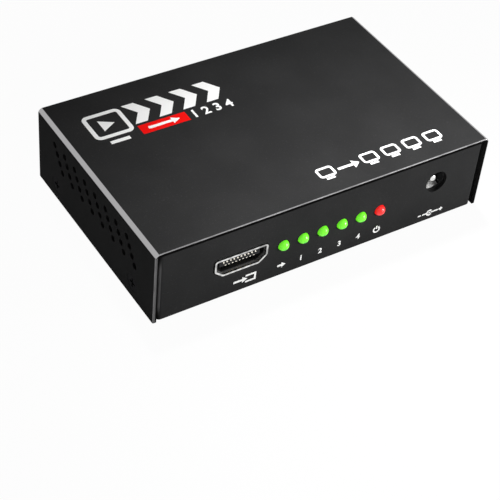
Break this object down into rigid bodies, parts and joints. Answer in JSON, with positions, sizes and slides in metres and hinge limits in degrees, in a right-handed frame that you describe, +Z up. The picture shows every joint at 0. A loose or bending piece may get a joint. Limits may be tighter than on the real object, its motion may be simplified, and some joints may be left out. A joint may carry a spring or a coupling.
{
  "type": "hdmi splitter",
  "caption": "Low folded-metal case with a video input, indicator lamps and a barrel power jack in front, a row of video outputs behind and vented sides.",
  "frame": {"origin": "bottom centre of the case, on the surface that it stands on", "axes": "+X to the right seen from the front panel, +Y to the rear panel, +Z up"},
  "size_m": [0.098, 0.0632, 0.022],
  "materials": {
    "case_paint": "satin powder coat, charcoal",
    "screw_black": "black zinc",
    "plated_steel": "bright nickel plate",
    "shell_nickel": "bright nickel plate",
    "contact_gold": "gold flash",
    "tinned_wire": "tin plate",
    "board_laminate": "green solder mask",
    "black_plastic": "moulded, fine grain",
    "chip_black": "moulded epoxy",
    "pad_grey": "soft matte",
    "bare_aluminium": "satin",
    "ferrite_grey": "fired ferrite",
    "capacitor_tan": "fired ceramic",
    "resistor_black": "glazed",
    "lamp_green": "diffused epoxy, lit",
    "lamp_red": "diffused epoxy, lit",
    "print_white": "screen-printed ink",
    "print_red": "screen-printed ink"
  },
  "bodies": {
    "case": {"base_tray": "case_paint", "ceramic_capacitors": "capacitor_tan", "chip_resistors": "resistor_black", "circuit_board": "board_laminate", "cover_screws": "screw_black", "crystal_can": "plated_steel", "crystal_pins": "tinned_wire", "diode_terminals": "tinned_wire", "eeprom_chips": "chip_black", "eeprom_leads": "tinned_wire", "electrolytic_bases": "black_plastic", "electrolytic_cans": "bare_aluminium", "esd_arrays": "chip_black", "front_panel": "case_paint", "hdmi_in_contacts": "contact_gold", "hdmi_in_insulator": "black_plastic", "hdmi_in_shell": "shell_nickel", "hdmi_out_1_contacts": "contact_gold", "hdmi_out_1_insulator": "black_plastic", "hdmi_out_1_shell": "shell_nickel", "hdmi_out_2_contacts": "contact_gold", "hdmi_out_2_insulator": "black_plastic", "hdmi_out_2_shell": "shell_nickel", "hdmi_out_3_contacts": "contact_gold", "hdmi_out_3_insulator": "black_plastic", "hdmi_out_3_shell": "shell_nickel", "hdmi_out_4_contacts": "contact_gold", "hdmi_out_4_insulator": "black_plastic", "hdmi_out_4_shell": "shell_nickel", "heatsink": "bare_aluminium", "inductor_terminals": "tinned_wire", "jack_centre_pin": "plated_steel", "jack_housing": "black_plastic", "jack_sleeve_terminal": "plated_steel", "jack_switch_contact": "plated_steel", "led_in": "lamp_green", "led_leads": "tinned_wire", "led_out_1": "lamp_green", "led_out_2": "lamp_green", "led_out_3": "lamp_green", "led_out_4": "lamp_green", "led_power": "lamp_red", "microcontroller": "chip_black", "microcontroller_leads": "tinned_wire", "pcb_screws": "plated_steel", "pcb_standoffs": "plated_steel", "power_inductor": "ferrite_grey", "rear_panel": "case_paint", "rectifier_diode": "chip_black", "splitter_chip": "chip_black", "splitter_chip_leads": "tinned_wire", "thermal_pad": "pad_grey", "top_cover": "case_paint", "voltage_regulator_leads": "tinned_wire", "voltage_regulators": "chip_black"},
    "jack_leaf": {"jack_leaf_contact": "plated_steel"}
  },
  "joints": [
    {"name": "jack_leaf_flex", "type": "hinge", "parent": "case", "child": "jack_leaf", "pos_m": [0.034, -0.01845, 0.00997], "axis": [1, 0, 0], "range_deg": [0, 4], "stiffness_Nm_per_rad": 0.001, "springref_deg": -5.73}
  ]
}
